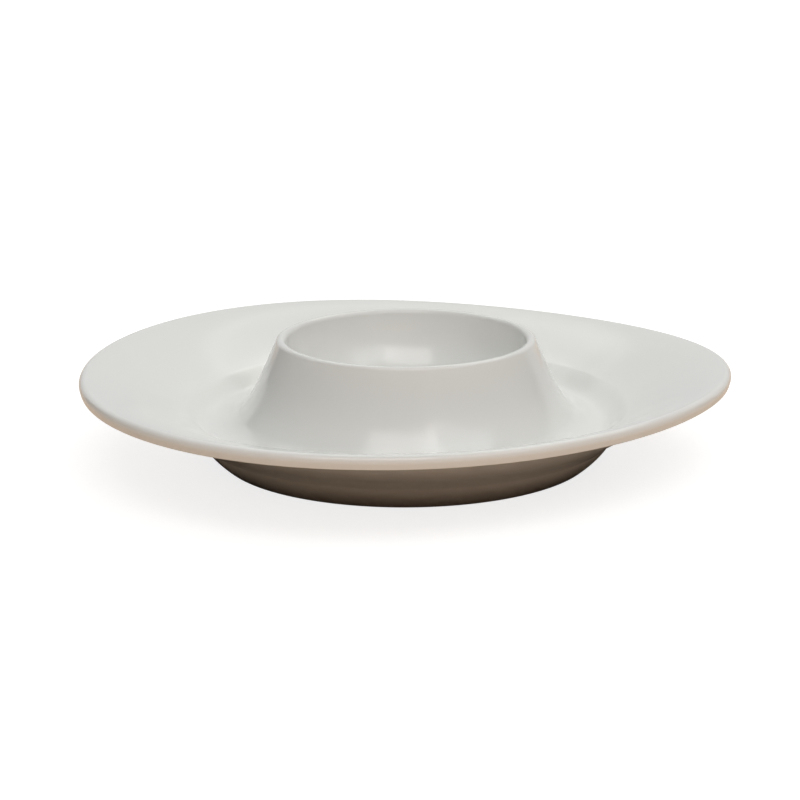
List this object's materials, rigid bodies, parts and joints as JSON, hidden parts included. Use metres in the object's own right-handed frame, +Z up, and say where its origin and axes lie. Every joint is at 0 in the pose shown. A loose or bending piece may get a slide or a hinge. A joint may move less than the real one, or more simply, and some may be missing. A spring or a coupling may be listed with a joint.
{
  "type": "egg cup plate",
  "caption": "White glazed porcelain egg cup with a flared skirt rising from its own shallow egg-shaped saucer, on a low round foot.",
  "frame": {"origin": "on the cup's axis, in the plane that the foot stands on, which is the bottom centre of the dish's box", "axes": "+Z up along the cup's axis, +X towards the pointed end of the egg-shaped rim"},
  "size_m": [0.13, 0.1284, 0.0241],
  "materials": {
    "glazed_porcelain": "clear gloss glaze over white porcelain",
    "foot_porcelain": "gloss glaze, with a bare matt ring where the foot stands"
  },
  "bodies": {
    "root": {"plate_rim": "glazed_porcelain", "plate_well": "glazed_porcelain", "foot_ring": "foot_porcelain", "cup_skirt": "glazed_porcelain", "cup_bowl": "glazed_porcelain", "cup_lip": "glazed_porcelain"}
  },
  "joints": []
}
